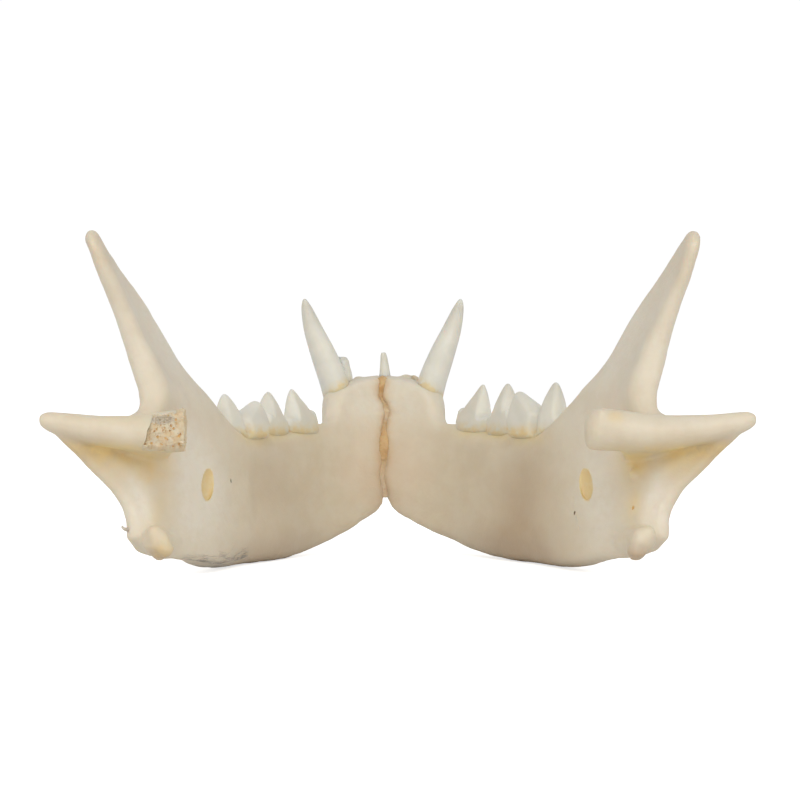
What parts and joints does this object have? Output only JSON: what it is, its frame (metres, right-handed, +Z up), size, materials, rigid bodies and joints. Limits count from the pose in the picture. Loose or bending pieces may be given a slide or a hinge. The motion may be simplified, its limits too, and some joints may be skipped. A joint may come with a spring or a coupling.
{
  "type": "cat lower jaw",
  "caption": "Dry lower jaw of a grown cat, with tall rear blades, bar-shaped hinge ends, pointed cheek teeth and curved canines, joined at the chin by dried cartilage.",
  "frame": {"origin": "centre of the jaw's footprint, on the surface it lies on", "axes": "+Z up, +Y from the hinge ends towards the chin, +X towards the right half seen from behind"},
  "size_m": [0.0594, 0.0592, 0.0295],
  "materials": {
    "dry_bone": "dry, cream-coloured bone with a faint sheen",
    "dried_cartilage": "brown, dull dried cartilage"
  },
  "bodies": {
    "root": {"mandible_left": "dry_bone", "mandible_right": "dry_bone", "symphysis": "dried_cartilage"}
  },
  "joints": []
}
